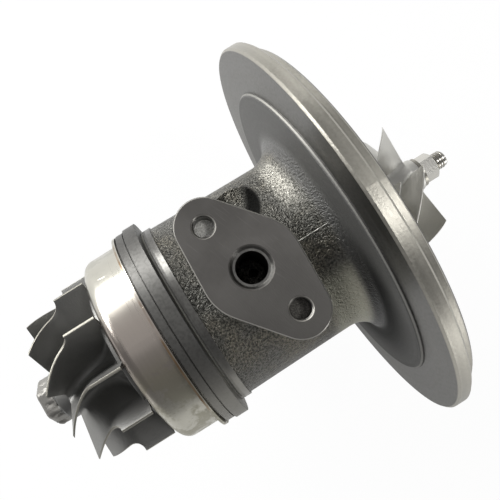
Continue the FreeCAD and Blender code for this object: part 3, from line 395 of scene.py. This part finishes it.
def make_turbine_wheel(material):
    mesh = bmesh.new()
    blades, inlet_steps, corner_steps, outlet_steps, flare_steps = 11, 9, 7, 7, 28
    hub_r, outlet_r = 10.6, INLET_R - TIP_STEP
    seat_x, seat_r, back_x, back_r = -96.2, 9.2, -98.2, 29.7
    rim, foot = (-99.8, 27.6), (-116.8, hub_r)
    flare_share = 0.68
    inlet_deg, outlet_deg, curl = 7.0, 23.5, 1.8
    add_turned(mesh, [(seat_x, 0.0), (seat_x, seat_r), (back_x, seat_r), (back_x, back_r),
                      (back_x - 0.3, back_r + 0.3), (rim[0] + 0.3, back_r + 0.3), (rim[0], back_r)]
               + [quarter(rim, foot, i / flare_steps) for i in range(flare_steps + 1)]
               + [(-122.0, hub_r), (-127.0, hub_r), (HUB_END_X + 0.6, hub_r), (HUB_END_X, hub_r - 0.5)])

    throat_x = TIP_CORNER_X - TIP_STEP
    corner, throat = (TIP_CORNER_X, INLET_R), (throat_x, outlet_r)
    tip_line = [(between(back_x, TIP_CORNER_X, i / inlet_steps), INLET_R) for i in range(inlet_steps)]
    tip_line += [quarter(corner, throat, i / corner_steps) for i in range(corner_steps + 1)]
    tip_line += [(between(throat_x, BLADE_EXIT_X, i / outlet_steps), outlet_r)
                 for i in range(1, outlet_steps + 1)]
    hub_line = [(back_x, 29.0)]
    for i in range(1, len(tip_line)):
        share = i / (len(tip_line) - 1)
        if share < flare_share:
            hub_line.append(quarter(rim, foot, share / flare_share))
        else:
            past_flare = (share - flare_share) / (1 - flare_share)
            hub_line.append((between(foot[0], BLADE_EXIT_X, past_flare), hub_r))

    def swing(x):
        """The blade's angle: even at the inlet, then more and more towards the outlet."""
        along = max(0.0, (TIP_CORNER_X - x) / (TIP_CORNER_X - BLADE_EXIT_X))
        return math.radians(inlet_deg + outlet_deg * along ** curl)

    for number in range(blades):
        lean = math.tau * number / blades
        add_blade(mesh, hub_line, tip_line, lambda x, share: swing(x) + lean,
                  root=1.25, tip=0.60, fillet=2.2, edge=0.22)
    add_boss(mesh)
    wheel = finish_piece("cast_turbine_wheel", mesh, "rotor", material)
    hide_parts("turbine_wheel")


print("turbine wheel recipe is ready")

# %% [markdown]
# The compressor wheel has six full blades and six short ones between them. They stand nearly
# straight at the inlet and lean back towards the rim. The hub is one smooth flare, with a
# rounded nose under the nut.

# %% Cast the compressor wheel
def make_compressor_wheel(material):
    mesh = bmesh.new()
    bore_r, nose_r, rim_r, back_x = 3.6, 7.0, 38.0, 2.0
    hub_rim, hub_inlet = (3.6, rim_r), (36.0, nose_r)
    tip_rim, tip_inlet, tip_power = (8.6, rim_r), (34.1, 25.6), 1.15
    short_start, steps, flare_steps = 0.32, 24, 36
    first_deg, pitch_deg = 60.0, 30.0
    add_turned(mesh, [(back_x, bore_r), (back_x, rim_r - 0.2), (back_x + 0.2, rim_r)]
               + [quarter(hub_rim, hub_inlet, i / flare_steps) for i in range(flare_steps + 1)]
               + [(38.6, nose_r), (39.3, nose_r - 0.3), (39.6, nose_r - 0.9), (39.6, bore_r)])

    early, late = math.radians(50.0), math.radians(17.0)
    for number in range(12):
        start = 0.0 if number % 2 == 0 else short_start
        first = math.radians(first_deg + pitch_deg * number)
        hub_line, tip_line = [], []
        for i in range(steps + 1):
            share = between(start, 1.0, i / steps)
            hub_line.append(quarter(hub_rim, hub_inlet, 1 - share))
            tip_line.append(quarter(tip_rim, tip_inlet, 1 - share, tip_power))

        def turn(x, step):
            share = between(start, 1.0, step)
            return first + early * (1 - (1 - share) ** 2) + late * share

        add_blade(mesh, hub_line, tip_line, turn, root=0.75, tip=0.38, fillet=1.3, edge=0.16)
    wheel = finish_piece("cast_compressor_wheel", mesh, "rotor", material)
    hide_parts("compressor_wheel")


print("compressor wheel recipe is ready")

# %% [markdown]
# The end of the shaft sticks out of the nut and shows its thread. A thread is one ridge that
# winds round the shaft, so it is a grid too: a small ridge of four points, carried along a
# helix. Its ends sink into the shaft and the nut.

# %% Cut the thread
def make_thread(material):
    mesh = bmesh.new()
    pitch, start_x, end_x, segments = 1.15, 44.6, 51.7, 48
    foot_r, sunk_crest_r, ridge = 3.2, 3.28, 0.34
    half_foot, half_crest = 0.56, 0.12
    turns = (end_x - start_x) / pitch
    rows = []
    for step in range(int(turns * segments) + 1):
        angle = math.tau * step / segments
        x = start_x + pitch * step / segments
        fade = min(1.0, (end_x - x) / (0.5 * pitch))
        crest_r = sunk_crest_r + ridge * fade
        rows.append([around(x - half_foot, foot_r, angle), around(x - half_crest, crest_r, angle),
                     around(x + half_crest, crest_r, angle), around(x + half_foot, foot_r, angle)])
    add_grid(mesh, rows)
    finish_piece("stub_thread", mesh, "rotor", material, sharp_deg=25.0)


print("thread recipe is ready")

# %% [markdown]
# The part was photographed on white. A big pale floor just under the disc's lowest point gives
# that. To camera rays it is almost a plain white, with a little of the soft shadow left in it.
# Metal mirrors the floor, so mirror rays find it white too, but darker close beside the part,
# on the side away from the window, where the part itself keeps the light off.

# %% Lay the floor
reach = 3.0
floor_z = solid_box[0][2] - 1 * MM
corners = [(-reach, -reach), (reach, -reach), (reach, reach), (-reach, reach)]
floor_mesh = bpy.data.meshes.new("floor")
floor_mesh.from_pydata([(x, y, floor_z) for x, y in corners], [], [(0, 1, 2, 3)])
floor = bpy.data.objects.new("floor", floor_mesh)
bpy.context.scene.collection.objects.link(floor)

paper = Finish("floor_paper")
light_path = paper.node("ShaderNodeLightPath")
camera_ray, glossy_ray, clear_ray = (paper.wire(light_path, name) for name in (
    "Is Camera Ray", "Is Glossy Ray", "Is Transmission Ray"))
shade_x, shade_y = -20 * MM, -130 * MM
spot = paper.place()
from_shade = ((spot.x - shade_x) ** 2 + (spot.y - shade_y) ** 2) ** 0.5
open_floor = paper.rise(from_shade, 80, 420)
mirrored = glossy_ray.either(clear_ray) * (0.22 + 0.66 * open_floor)
seen = (camera_ray * 0.96).either(mirrored)
matte = paper.node("ShaderNodeBsdfDiffuse", None, Color=(0.9, 0.9, 0.89, 1.0))
glow = paper.node("ShaderNodeEmission", None, Color=(1.0, 1.0, 1.0, 1.0), Strength=1.0)
both = paper.node("ShaderNodeMixShader", None, seen, paper.wire(matte, 0), paper.wire(glow, 0))
paper.node("ShaderNodeOutputMaterial", None, paper.wire(both, 0))
floor_mesh.materials.append(paper.material)
print("floor height in mm:", round(floor_z / MM, 1))

# %% [markdown]
# The light comes mainly from a wide window at the upper left of the picture, low over the floor,
# where it leaves the bright bands on the shield and on the disc's rim. A weaker doorway fills
# from the other side. Two lamps hang overhead, one small and one wide. Both stay dim, because
# the faces that look at the camera are dark in the photograph. The room around gives a dim
# grey light, and is white to camera rays.

# %% Hang the lamps
def hang(name, place, width, height, power):
    """A rectangular lamp at a place, turned towards the middle of the part."""
    aim = Vector((-0.045, 0.0, 0.0))
    data = bpy.data.lights.new(name, "AREA")
    data.shape = "RECTANGLE"
    data.size = width
    data.size_y = height
    data.energy = power
    lamp = bpy.data.objects.new(name, data)
    lamp.location = place
    lamp.rotation_euler = (aim - Vector(place)).to_track_quat("-Z", "Y").to_euler()
    bpy.context.scene.collection.objects.link(lamp)


hang("window", (-0.48, 0.86, 0.43), width=1.25, height=0.42, power=21.0)
hang("doorway", (0.55, -0.85, 0.12), width=0.7, height=0.35, power=3.0)
hang("overhead", (0.40, -0.25, 1.15), width=0.26, height=0.18, power=2.6)
hang("skylight", (-0.10, 0.30, 1.15), width=1.1, height=0.9, power=1.2)

world = bpy.data.worlds.new("room")
world.use_nodes = True
room = world.node_tree
room.nodes.clear()
room_path = room.nodes.new("ShaderNodeLightPath")
room_mix = room.nodes.new("ShaderNodeMixShader")
room_end = room.nodes.new("ShaderNodeOutputWorld")
room.links.new(room_path.outputs["Is Camera Ray"], room_mix.inputs[0])
for slot, colour in ((1, (0.21, 0.21, 0.215, 1.0)), (2, (1.0, 1.0, 1.0, 1.0))):
    air = room.nodes.new("ShaderNodeBackground")
    air.inputs[0].default_value = colour
    room.links.new(air.outputs[0], room_mix.inputs[slot])
room.links.new(room_mix.outputs[0], room_end.inputs[0])
bpy.context.scene.world = world

# %% [markdown]
# The housing is one grey-iron casting. Where a lathe or mill has been, it is satin metal with
# fine tool marks. Everywhere else it has the casting's skin: dark, wrinkled like orange peel,
# and full of small facets that catch the light. One material tells them apart by where the
# surface lies, because the cut faces are all planes or rings at known places. The first step
# finds these zones, and makes the noises that their colours and their relief share.

# %% Find the zones of the housing
OIL_INLET, WINDOW_SCREW, FAR_SCREW = (-41.7, 0.0), (-48.05, 19.65), (-35.35, -19.65)


def inside_hole(iron, at, centre, hole_r):
    """1 inside an upright hole of the oil inlet flange."""
    off_x, off_y = at.x - centre[0] * MM, at.y - centre[1] * MM
    from_centre = (off_x ** 2 + off_y ** 2) ** 0.5
    return iron.fall(from_centre, hole_r - 0.1, hole_r) * iron.rise(at.z, 30, 31)


def find_zones(iron, at):
    """Masks for the cut faces, and for the worn root of the disc with painted shade on its far side."""
    disc = iron.rise(at.x, -8.2, -7.0)
    flange = iron.fall(at.x, -68.0, -67.6)
    land = iron.strip(at.x, -68.9, -65.5, 0.05) * iron.rise(at.radius, 38.9, 39.1)
    groove = iron.strip(at.x, -71.0, -68.7, 0.1) * iron.fall(at.radius, 38.7, 39.0)
    inlet_face = iron.rise(at.z, 53.4, 53.6) * iron.fall(at.x, -11, -10)
    drain_face = iron.fall(at.z, -49.7, -49.5) * (1 - disc)
    holes = inside_hole(iron, at, OIL_INLET, 7.9).either(
        inside_hole(iron, at, WINDOW_SCREW, 4.6), inside_hole(iron, at, FAR_SCREW, 4.6))
    cut = disc.either(flange, land, inlet_face, drain_face, holes)

    rim_front = iron.strip(at.radius, 77.6, 78.4, 0.1) * iron.rise(at.x, -0.1, 0.2)
    rim = iron.rise(at.radius, 81.5, 81.9).either(rim_front)
    root = iron.fall(at.radius, 64.2, 64.7) * iron.fall(at.x, -5.3, -5.1) * iron.rise(at.x, -12, -9)
    # painted shade: 1 on the far, low side of the disc's root, where its colour is darkened
    painted_shade_far_low = iron.fall(at.y, -30, -2) * (1 - 0.75 * iron.rise(at.radius, 45, 61))
    painted_shade_far_low = painted_shade_far_low * iron.fall(at.radius, 63.3, 63.6)
    return SimpleNamespace(disc=disc, flange=flange, land=land, groove=groove, cut=cut,
                           inlet_face=inlet_face, rim=rim, root=root, painted_shade_far_low=painted_shade_far_low)


def make_grain(iron, at):
    """Noises: rings left by the lathe, scratches left by the mill, and the casting's own."""
    rings = iron.combine(at.x, at.radius, 0.0)
    strokes = iron.combine(at.x + at.y * 0.35, (at.y - at.x * 0.35) * 0.04, 0.0)
    return SimpleNamespace(
        fine_rings=iron.noise(rings, 2600.0), broad_rings=iron.noise(rings, 420.0, 3.0),
        scratches=iron.noise(strokes, 2400.0), mottle=iron.noise(at.point, 38.0, 4.0, 0.6),
        peel=iron.noise(at.point, 560.0, 3.0, 0.62), grains=iron.noise(at.point, 1250.0, 3.0, 0.6),
        folds=iron.noise(at.point, 230.0, 3.0, 0.6), speckle=iron.noise(at.point, 900.0, 3.0))


print("zones of the housing are ready")

# %% [markdown]
# The turned faces are rings of two greys under dark speckle, with painted shade towards the
# disc's far side. The root of the disc is worn and dull, with painted shade that makes it darkest
# on its far side, and a painted highlight runs round its edge, brightest where the window lights
# it. The turbine flange is darker than the disc, and painted light makes its low side paler. The
# groove for the clamp is painted pale, painted light in a place of shade, and the rim of the disc
# is brightest of all. The milled face of the oil inlet is dark, with painted shade on its far
# side, a few scratches and a painted highlight along its edge.

# %% Colour the cut faces
def turned_colour(iron, at, zone, grain):
    # painted highlight: a bright line on the boss's edge, brightest in the arc the window lights
    boss_edge_highlight = iron.strip(at.radius, 63.85, 64.35, 0.08) * zone.root
    lit_arc = iron.strip(at.y, 22, 50, 9) * iron.rise(at.z, 0, 15)
    # painted light: the low side of the flange and the land made paler
    painted_light_low_side = iron.fall(at.y, -34, -10) * zone.flange.either(zone.land)
    worn = iron.mix(grain.grains, (0.060, 0.060, 0.057), (0.135, 0.133, 0.126))
    bright = iron.mix(grain.broad_rings * 0.6 + grain.grains * 0.4,
                      (0.23, 0.220, 0.192), (0.54, 0.518, 0.455))
    plain = iron.mix(grain.broad_rings * 0.6 + grain.mottle * 0.4,
                     (0.100, 0.098, 0.092), (0.215, 0.210, 0.197))
    return iron.coats(
        plain,
        (iron.ramp(grain.speckle, 0.42, 0.66) * 0.38, (0.062, 0.061, 0.056)),
        # painted shade: the disc's face darkened towards its far side
        (zone.disc * iron.fall(at.y, -75, -20) * 0.12, (0.050, 0.049, 0.045)),
        (zone.root, worn),
        # painted shade: the far side of the root darkened almost to black
        (zone.root * zone.painted_shade_far_low * 0.9, (0.024, 0.024, 0.023)),
        (boss_edge_highlight * (0.40 + 0.60 * lit_arc), (0.40, 0.39, 0.355)),
        (zone.flange * 0.35, (0.055, 0.055, 0.053)),
        (painted_light_low_side * 0.5, (0.34, 0.33, 0.295)),
        # painted light: the clamp's groove, which lies in shade, painted pale
        (zone.groove, (0.46, 0.455, 0.43)),
        (zone.rim, bright))


def milled_colour(iron, at, zone, grain):
    plain = iron.mix(iron.ramp(grain.mottle, 0.3, 0.7), (0.090, 0.085, 0.079), (0.125, 0.119, 0.111))
    beside_bore = inside_hole(iron, at, OIL_INLET, 11.0)
    # painted highlight: a light line along the face's edge, fainter beside the bore
    edge = zone.inlet_face * iron.fall(at.z, 53.88, 53.97) * (1 - 0.75 * beside_bore)
    return iron.coats(
        plain,
        (iron.ramp(grain.scratches, 0.60, 0.72) * 0.2, (0.20, 0.19, 0.18)),
        # painted shade: the face darkened towards its far side
        (iron.fall(at.y, -22, 6) * 0.70, (0.060, 0.057, 0.052)),
        (edge, (0.30, 0.29, 0.265)))


print("colours of the cut faces are ready")

# %% [markdown]
# The skin is dark in its valleys and a warmer grey on its grains. Between the oil inlet and the
# disc it carries a painted highlight on the window's side and painted shade beside the side
# hollow, and it is olive on the far side. One side of the hollow holds a nearly black crescent
# of painted shadow. Where the two halves of the mould met, a thin broken line of flash is left,
# coloured pale as a painted highlight along it, and the sand was a little coarser on one side
# of it than on the other. To the left of the oil inlet the skin lies in larger folds.

# %% Colour the casting's skin
def find_shadow_crescent(iron, at):
    """1 on the side of the oval hollow that carries a crescent of painted shadow."""
    hollow_x, half_length, half_width, tilt = -33.0, 8.6, 12.3, math.radians(40)
    along = (at.x - hollow_x * MM) / (half_length * MM)
    across = (at.y * math.cos(tilt) - at.z * math.sin(tilt)) / (half_width * MM)
    from_middle = (along * along + across * across) ** 0.5
    painted_shadow_crescent = iron.band(from_middle, 0.34, 1.02, 0.10) * iron.ramp(along - across, -0.25, 0.45)
    return painted_shadow_crescent * iron.rise(at.z, 5, 10) * iron.rise(at.y, 4, 8)


def find_seam(iron, at, zone):
    """1 on the line of flash, which wanders and has gaps."""
    wander = (iron.noise(at.point, 300.0) - 0.5) * (0.9 * MM)
    seam = iron.strip(at.y + wander, -0.14, 0.14, 0.08) * iron.strip(at.x, -22.0, -10.5, 0.4)
    return seam * iron.ramp(iron.noise(at.point, 420.0), 0.36, 0.50) * (1 - zone.cut)


def skin_colour(iron, at, grain, painted_shadow_crescent, seam):
    # painted highlight: a lighter band on the window's side of the disc root
    painted_highlight_band = iron.strip(at.x, -19.0, -12.5, 2.2) * iron.rise(at.y, 6, 24) * iron.rise(at.z, 10, 25)
    # painted shade: the skin darkened beside the side hollow
    painted_shade_by_hollow = iron.strip(at.y, -1, 9, 6) * iron.rise(at.x, -30, -24)
    olive = iron.strip(at.x, -24, -10, 3.5) * iron.fall(at.y, -20, -12)
    raised = iron.mix(iron.ramp(grain.mottle, 0.42, 0.68), (0.150, 0.147, 0.134), (0.200, 0.182, 0.142))
    return iron.coats(
        iron.mix(iron.ramp(grain.grains, 0.37, 0.62), (0.060, 0.059, 0.052), raised),
        (painted_highlight_band * iron.ramp(grain.grains, 0.25, 0.60), (0.44, 0.425, 0.375)),
        (painted_shade_by_hollow * 0.6, (0.055, 0.054, 0.048)),
        (olive * 0.85, (0.400, 0.390, 0.315)),
        # painted shadow: the nearly black crescent in the hollow
        (painted_shadow_crescent, (0.010, 0.010, 0.009)),
        # the flash is real relief; its pale colour is a painted highlight along it
        (seam, (0.62, 0.61, 0.56)))


def skin_relief(iron, at, grain):
    wrinkles = 1 - ((grain.peel - 0.5) * 5.0).maths("ABSOLUTE").maths("MINIMUM", 1.0)
    sand = (0.74 + 0.26 * iron.rise(at.y, -2, 2)) * (1 - 0.34 * iron.rise(at.x, -30, -19))
    folds = grain.folds * iron.fall(at.x, -55, -48) * iron.rise(at.y, -4, 6)
    return sand * (0.5 * wrinkles + 0.8 * grain.grains) + 1.6 * folds


print("colours of the skin are ready")

# %% [markdown]
# Now the zones come together. The masks choose the colour, how rough and how metallic the
# surface is, and how high its relief stands.

# %% Finish the housing
def housing_finish():
    iron = Finish("housing_iron")
    at = iron.place()
    zone = find_zones(iron, at)
    grain = make_grain(iron, at)
    painted_shadow_crescent = find_shadow_crescent(iron, at)
    seam = find_seam(iron, at, zone)
    skin = 1 - zone.cut
    worn = zone.root * zone.painted_shade_far_low

    cut_colour = iron.mix(zone.inlet_face, turned_colour(iron, at, zone, grain),
                          milled_colour(iron, at, zone, grain))
    colour = iron.mix(zone.cut.either(zone.root), skin_colour(iron, at, grain, painted_shadow_crescent, seam), cut_colour)

    rough_cut = 0.28 + 0.12 * grain.broad_rings + 0.18 * zone.root + 0.16 * zone.rim * grain.grains
    rough_cut = rough_cut + 0.07 * zone.disc * (1 - zone.rim) + 0.20 * worn
    rough_cut = rough_cut + 0.14 * zone.flange - 0.07 * zone.rim
    rough_skin = 0.32 + 0.10 * grain.grains + 0.4 * painted_shadow_crescent
    metal = 0.95 + 0.05 * zone.cut - 0.50 * zone.root * (1 - zone.painted_shade_far_low)
    metal = metal - 0.45 * zone.inlet_face - 0.75 * zone.groove

    cut_relief = grain.fine_rings * 0.03 + grain.scratches * zone.inlet_face * 0.02
    cut_relief = cut_relief + grain.grains * zone.root * 0.12
    relief = zone.cut * cut_relief + skin * skin_relief(iron, at, grain)
    relief = relief + seam * 0.5 + zone.rim * grain.grains * 0.06
    return iron.surface(relief, 0.80 * MM, Base_Color=colour, Metallic=metal,
                        Roughness=zone.cut * rough_cut + skin * rough_skin)


dress("bearing_housing", housing_finish())
print("housing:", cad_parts["bearing_housing"].data.materials[0].name)

# %% [markdown]
# The heat shield is pressed from thin stainless sheet. Heat has tinted its middle brown. Its
# lower side carries blotchy stains, its upper side has a thin haze, and its lip is brown in
# places. A few fine nicks run along it.

# %% Finish the heat shield
def shield_finish():
    steel = Finish("shield_steel")
    at = steel.place()
    streaks = steel.noise(steel.combine(at.x, at.radius, 0.0), 900.0, 3.0)
    clouds = steel.noise(at.point, 30.0, 4.0, 0.6)
    blotch = steel.noise(at.point, 95.0, 4.0, 0.68)
    nicks = steel.noise(steel.combine(at.x * 0.25, at.y, at.z * 0.25), 520.0)
    nick = steel.ramp(nicks, 0.70, 0.74)
    warm = steel.strip(at.y, -20, 14, 9)
    stain = (0.25 + 0.75 * steel.ramp(blotch, 0.42, 0.53)) * steel.fall(at.y, -16, -2)
    haze = steel.ramp(blotch, 0.50, 0.60) * steel.rise(at.y, 24, 36)
    lip = steel.rise(at.x, -80.9, -80.5) * steel.fall(at.x, -80.1, -79.8)
    colour = steel.coats(
        steel.mix(steel.ramp(clouds, 0.35, 0.7), (0.48, 0.468, 0.415), (0.585, 0.568, 0.500)),
        (warm * 0.75, (0.36, 0.305, 0.275)),
        (stain * 0.62, (0.24, 0.225, 0.160)),
        (haze * 0.35, (0.34, 0.34, 0.30)),
        (lip * steel.ramp(clouds, 0.42, 0.56), (0.26, 0.18, 0.11)))
    roughness = 0.25 + 0.07 * streaks + 0.16 * stain + 0.10 * haze + 0.1 * nick
    relief = streaks * 0.25 + clouds * 0.35 - nick * 0.5
    return steel.surface(relief, 0.10 * MM, Base_Color=colour, Roughness=roughness, Metallic=1.0)


dress("heat_shield", shield_finish())
print("heat shield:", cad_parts["heat_shield"].data.materials[0].name)

# %% [markdown]
# The turbine wheel is cast in a nickel alloy: a dull dark grey with a fine grain, a little
# lighter on its boss and along the outer edges of its blades. The compressor wheel is
# aluminium, pale and warm, with a smooth matte skin.

# %% Finish the wheels
def turbine_finish():
    alloy = Finish("turbine_alloy")
    at = alloy.place()
    grain = alloy.noise(at.point, 1400.0, 3.0)
    clouds = alloy.noise(at.point, 60.0, 3.0)
    past_corner = ((TIP_CORNER_X * MM - at.x) / (TIP_STEP * MM)).maths("MAXIMUM", 0.0).maths("MINIMUM", 1.0)
    stepped_in = (1 - (1 - past_corner) ** 2) ** 0.5 * (TIP_STEP * MM)
    tip = alloy.rise(at.radius + stepped_in, INLET_R - 0.28, INLET_R - 0.10)
    outlet = alloy.fall(at.x, BLADE_EXIT_X + 0.02, BLADE_EXIT_X + 0.15) * alloy.rise(at.radius, 12, 14)
    boss = alloy.fall(at.x, HUB_END_X - 0.9, HUB_END_X - 0.5)
    colour = alloy.coats(
        alloy.mix(clouds, (0.170, 0.169, 0.162), (0.262, 0.259, 0.246)),
        (boss * 0.8, (0.26, 0.25, 0.23)),
        (tip.either(outlet * 0.6), (0.27, 0.26, 0.225)))
    return alloy.surface(grain, 0.07 * MM, Base_Color=colour, Roughness=0.44 + 0.1 * clouds,
                         Metallic=0.75)


def aluminium_finish():
    alloy = Finish("wheel_aluminium")
    at = alloy.place()
    grain = alloy.noise(at.point, 1100.0, 3.0)
    clouds = alloy.noise(at.point, 45.0)
    colour = alloy.mix(clouds, (0.56, 0.55, 0.51), (0.68, 0.67, 0.63))
    return alloy.surface(grain, 0.04 * MM, Base_Color=colour, Roughness=0.40 + 0.1 * clouds,
                         Metallic=0.8)


make_turbine_wheel(turbine_finish())
make_compressor_wheel(aluminium_finish())
print("both wheels dressed")

# %% [markdown]
# Through the two screw holes of the oil flange the casting shows, a few millimetres down. It
# is rough there, pale with painted light in the hole nearer the window and dark with painted
# shade in the other. Each is a small uneven disc of points, pushed up and down a little.

# %% Show the casting under the screw holes
def make_hole_floor(name, centre, dark, light):
    cast = Finish(name + "_iron")
    speck = cast.noise(cast.place().point, 1900.0)
    colour = cast.mix(cast.ramp(speck, 0.38, 0.64), dark, light)
    material = cast.surface(speck, 0.3 * MM, Base_Color=colour, Roughness=0.8, Metallic=0.0)
    mesh = bmesh.new()
    outer_r, height, bump_depth, rings, segments = 3.52, 46.9, 0.35, 8, 40
    rows = []
    for ring in range(rings + 1):
        ring_r = outer_r * ring / rings
        row = []
        for i in range(segments):
            turn = math.tau * i / segments
            x, y = centre[0] + ring_r * math.cos(turn), centre[1] + ring_r * math.sin(turn)
            bump = bump_depth * noise.noise(Vector((x * 0.9, y * 0.9, 3.0)))
            row.append(Vector((x, y, height + bump)) * MM)
        rows.append(row)
    add_grid(mesh, rows, closed=True)
    finish_piece(name, mesh, "housing", material)


# painted light: the floor under the hole nearer the window
make_hole_floor("hole_floor_window_side", WINDOW_SCREW, (0.66, 0.65, 0.60), (0.97, 0.96, 0.91))
# painted shade: the floor under the far hole
make_hole_floor("hole_floor_far_side", FAR_SCREW, (0.10, 0.095, 0.085), (0.20, 0.19, 0.17))

# %% [markdown]
# The rest are small turned parts: bright steel outside, and bronze, rubber and plate inside.
# One recipe makes them all, with two colours and a roughness.

# %% Finish the small parts
def turned_finish(name, dark, light, roughness, metallic=1.0):
    metal = Finish(name)
    at = metal.place()
    rings = metal.noise(metal.combine(at.x, at.radius, 0.0), 1800.0)
    colour = metal.mix(metal.noise(at.point, 150.0, 3.0), dark, light)
    return metal.surface(rings, 0.03 * MM, Base_Color=colour, Roughness=roughness + 0.08 * rings,
                         Metallic=metallic)


nut_steel = turned_finish("nut_steel", (0.54, 0.53, 0.49), (0.72, 0.70, 0.65), 0.18)
thread_steel = turned_finish("thread_steel", (0.30, 0.285, 0.245), (0.46, 0.44, 0.39), 0.30)
shaft_steel = turned_finish("shaft_steel", (0.52, 0.51, 0.49), (0.64, 0.63, 0.60), 0.16)
ring_steel = turned_finish("ring_steel", (0.20, 0.20, 0.20), (0.30, 0.30, 0.30), 0.3)
bronze = turned_finish("bearing_bronze", (0.50, 0.36, 0.18), (0.64, 0.48, 0.26), 0.28)
spring_steel = turned_finish("spring_steel", (0.16, 0.16, 0.17), (0.24, 0.24, 0.25), 0.35)
plate_aluminium = turned_finish("plate_aluminium", (0.60, 0.59, 0.56), (0.70, 0.69, 0.66), 0.3)
rubber = turned_finish("seal_rubber", (0.012, 0.012, 0.012), (0.03, 0.03, 0.03), 0.5, metallic=0.0)
small_parts = {
    "rotor_shaft": shaft_steel, "compressor_nut": nut_steel, "compressor_washer": thread_steel,
    "turbine_seal_ring": ring_steel, "compressor_seal_ring": ring_steel,
    "journal_bearing_turbine_side": bronze, "journal_bearing_compressor_side": bronze,
    "turbine_bearing_clip_back": spring_steel, "turbine_bearing_clip_front": spring_steel,
    "compressor_bearing_clip_back": spring_steel, "compressor_bearing_clip_front": spring_steel,
    "thrust_bearing": bronze, "thrust_bearing_screws": nut_steel, "thrust_collar": shaft_steel,
    "oil_flinger_sleeve": shaft_steel, "oil_baffle": spring_steel, "seal_plate": plate_aluminium,
    "seal_plate_o_ring": rubber, "seal_plate_clip": spring_steel,
}
for node_name, material in small_parts.items():
    dress(node_name, material)
make_thread(thread_steel)
print("small parts dressed:", len(small_parts))
